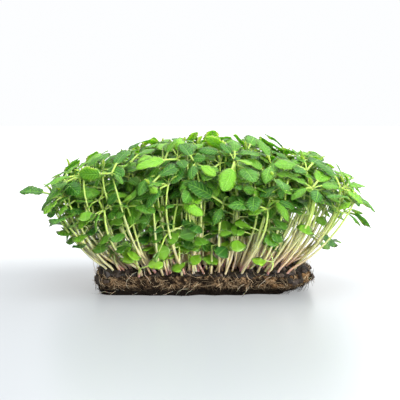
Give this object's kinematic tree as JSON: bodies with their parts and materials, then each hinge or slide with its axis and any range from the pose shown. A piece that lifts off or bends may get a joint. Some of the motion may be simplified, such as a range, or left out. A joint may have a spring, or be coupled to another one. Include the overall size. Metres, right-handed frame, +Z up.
{
  "type": "microgreens on a coir mat",
  "caption": "Dense young herb sprouts with seed leaves and toothed true leaves, growing from a dark potting layer on a torn block of coir felt, with no tray.",
  "frame": {"origin": "centre of the coir mat's flat underside, where the block rests", "axes": "+X along the mat's long side, +Z up, and the front that the picture shows faces -Y"},
  "size_m": [0.177, 0.1223, 0.082],
  "materials": {
    "coir": "coarse matted coconut fibre, dull",
    "soil": "moist crumbly potting compost, dull",
    "sprout": "living leaf and stem, soft sheen"
  },
  "bodies": {
    "root": {"coir_mat": "coir", "potting_layer": "soil", "sprout_tuft_01": "sprout", "sprout_tuft_02": "sprout", "sprout_tuft_03": "sprout", "sprout_tuft_04": "sprout", "sprout_tuft_05": "sprout", "sprout_tuft_06": "sprout", "sprout_tuft_07": "sprout", "sprout_tuft_08": "sprout", "sprout_tuft_09": "sprout", "sprout_tuft_10": "sprout", "sprout_tuft_11": "sprout", "sprout_tuft_12": "sprout", "sprout_tuft_13": "sprout", "sprout_tuft_14": "sprout", "sprout_tuft_15": "sprout", "sprout_tuft_16": "sprout", "sprout_tuft_17": "sprout", "sprout_tuft_18": "sprout", "sprout_tuft_19": "sprout", "sprout_tuft_20": "sprout", "sprout_tuft_21": "sprout", "sprout_tuft_22": "sprout", "sprout_tuft_23": "sprout", "sprout_tuft_24": "sprout", "sprout_tuft_25": "sprout", "sprout_tuft_26": "sprout", "sprout_tuft_27": "sprout", "sprout_tuft_28": "sprout", "sprout_tuft_29": "sprout", "sprout_tuft_30": "sprout", "sprout_tuft_31": "sprout", "sprout_tuft_32": "sprout", "sprout_tuft_33": "sprout", "sprout_tuft_34": "sprout", "sprout_tuft_35": "sprout", "sprout_tuft_36": "sprout"}
  },
  "joints": []
}
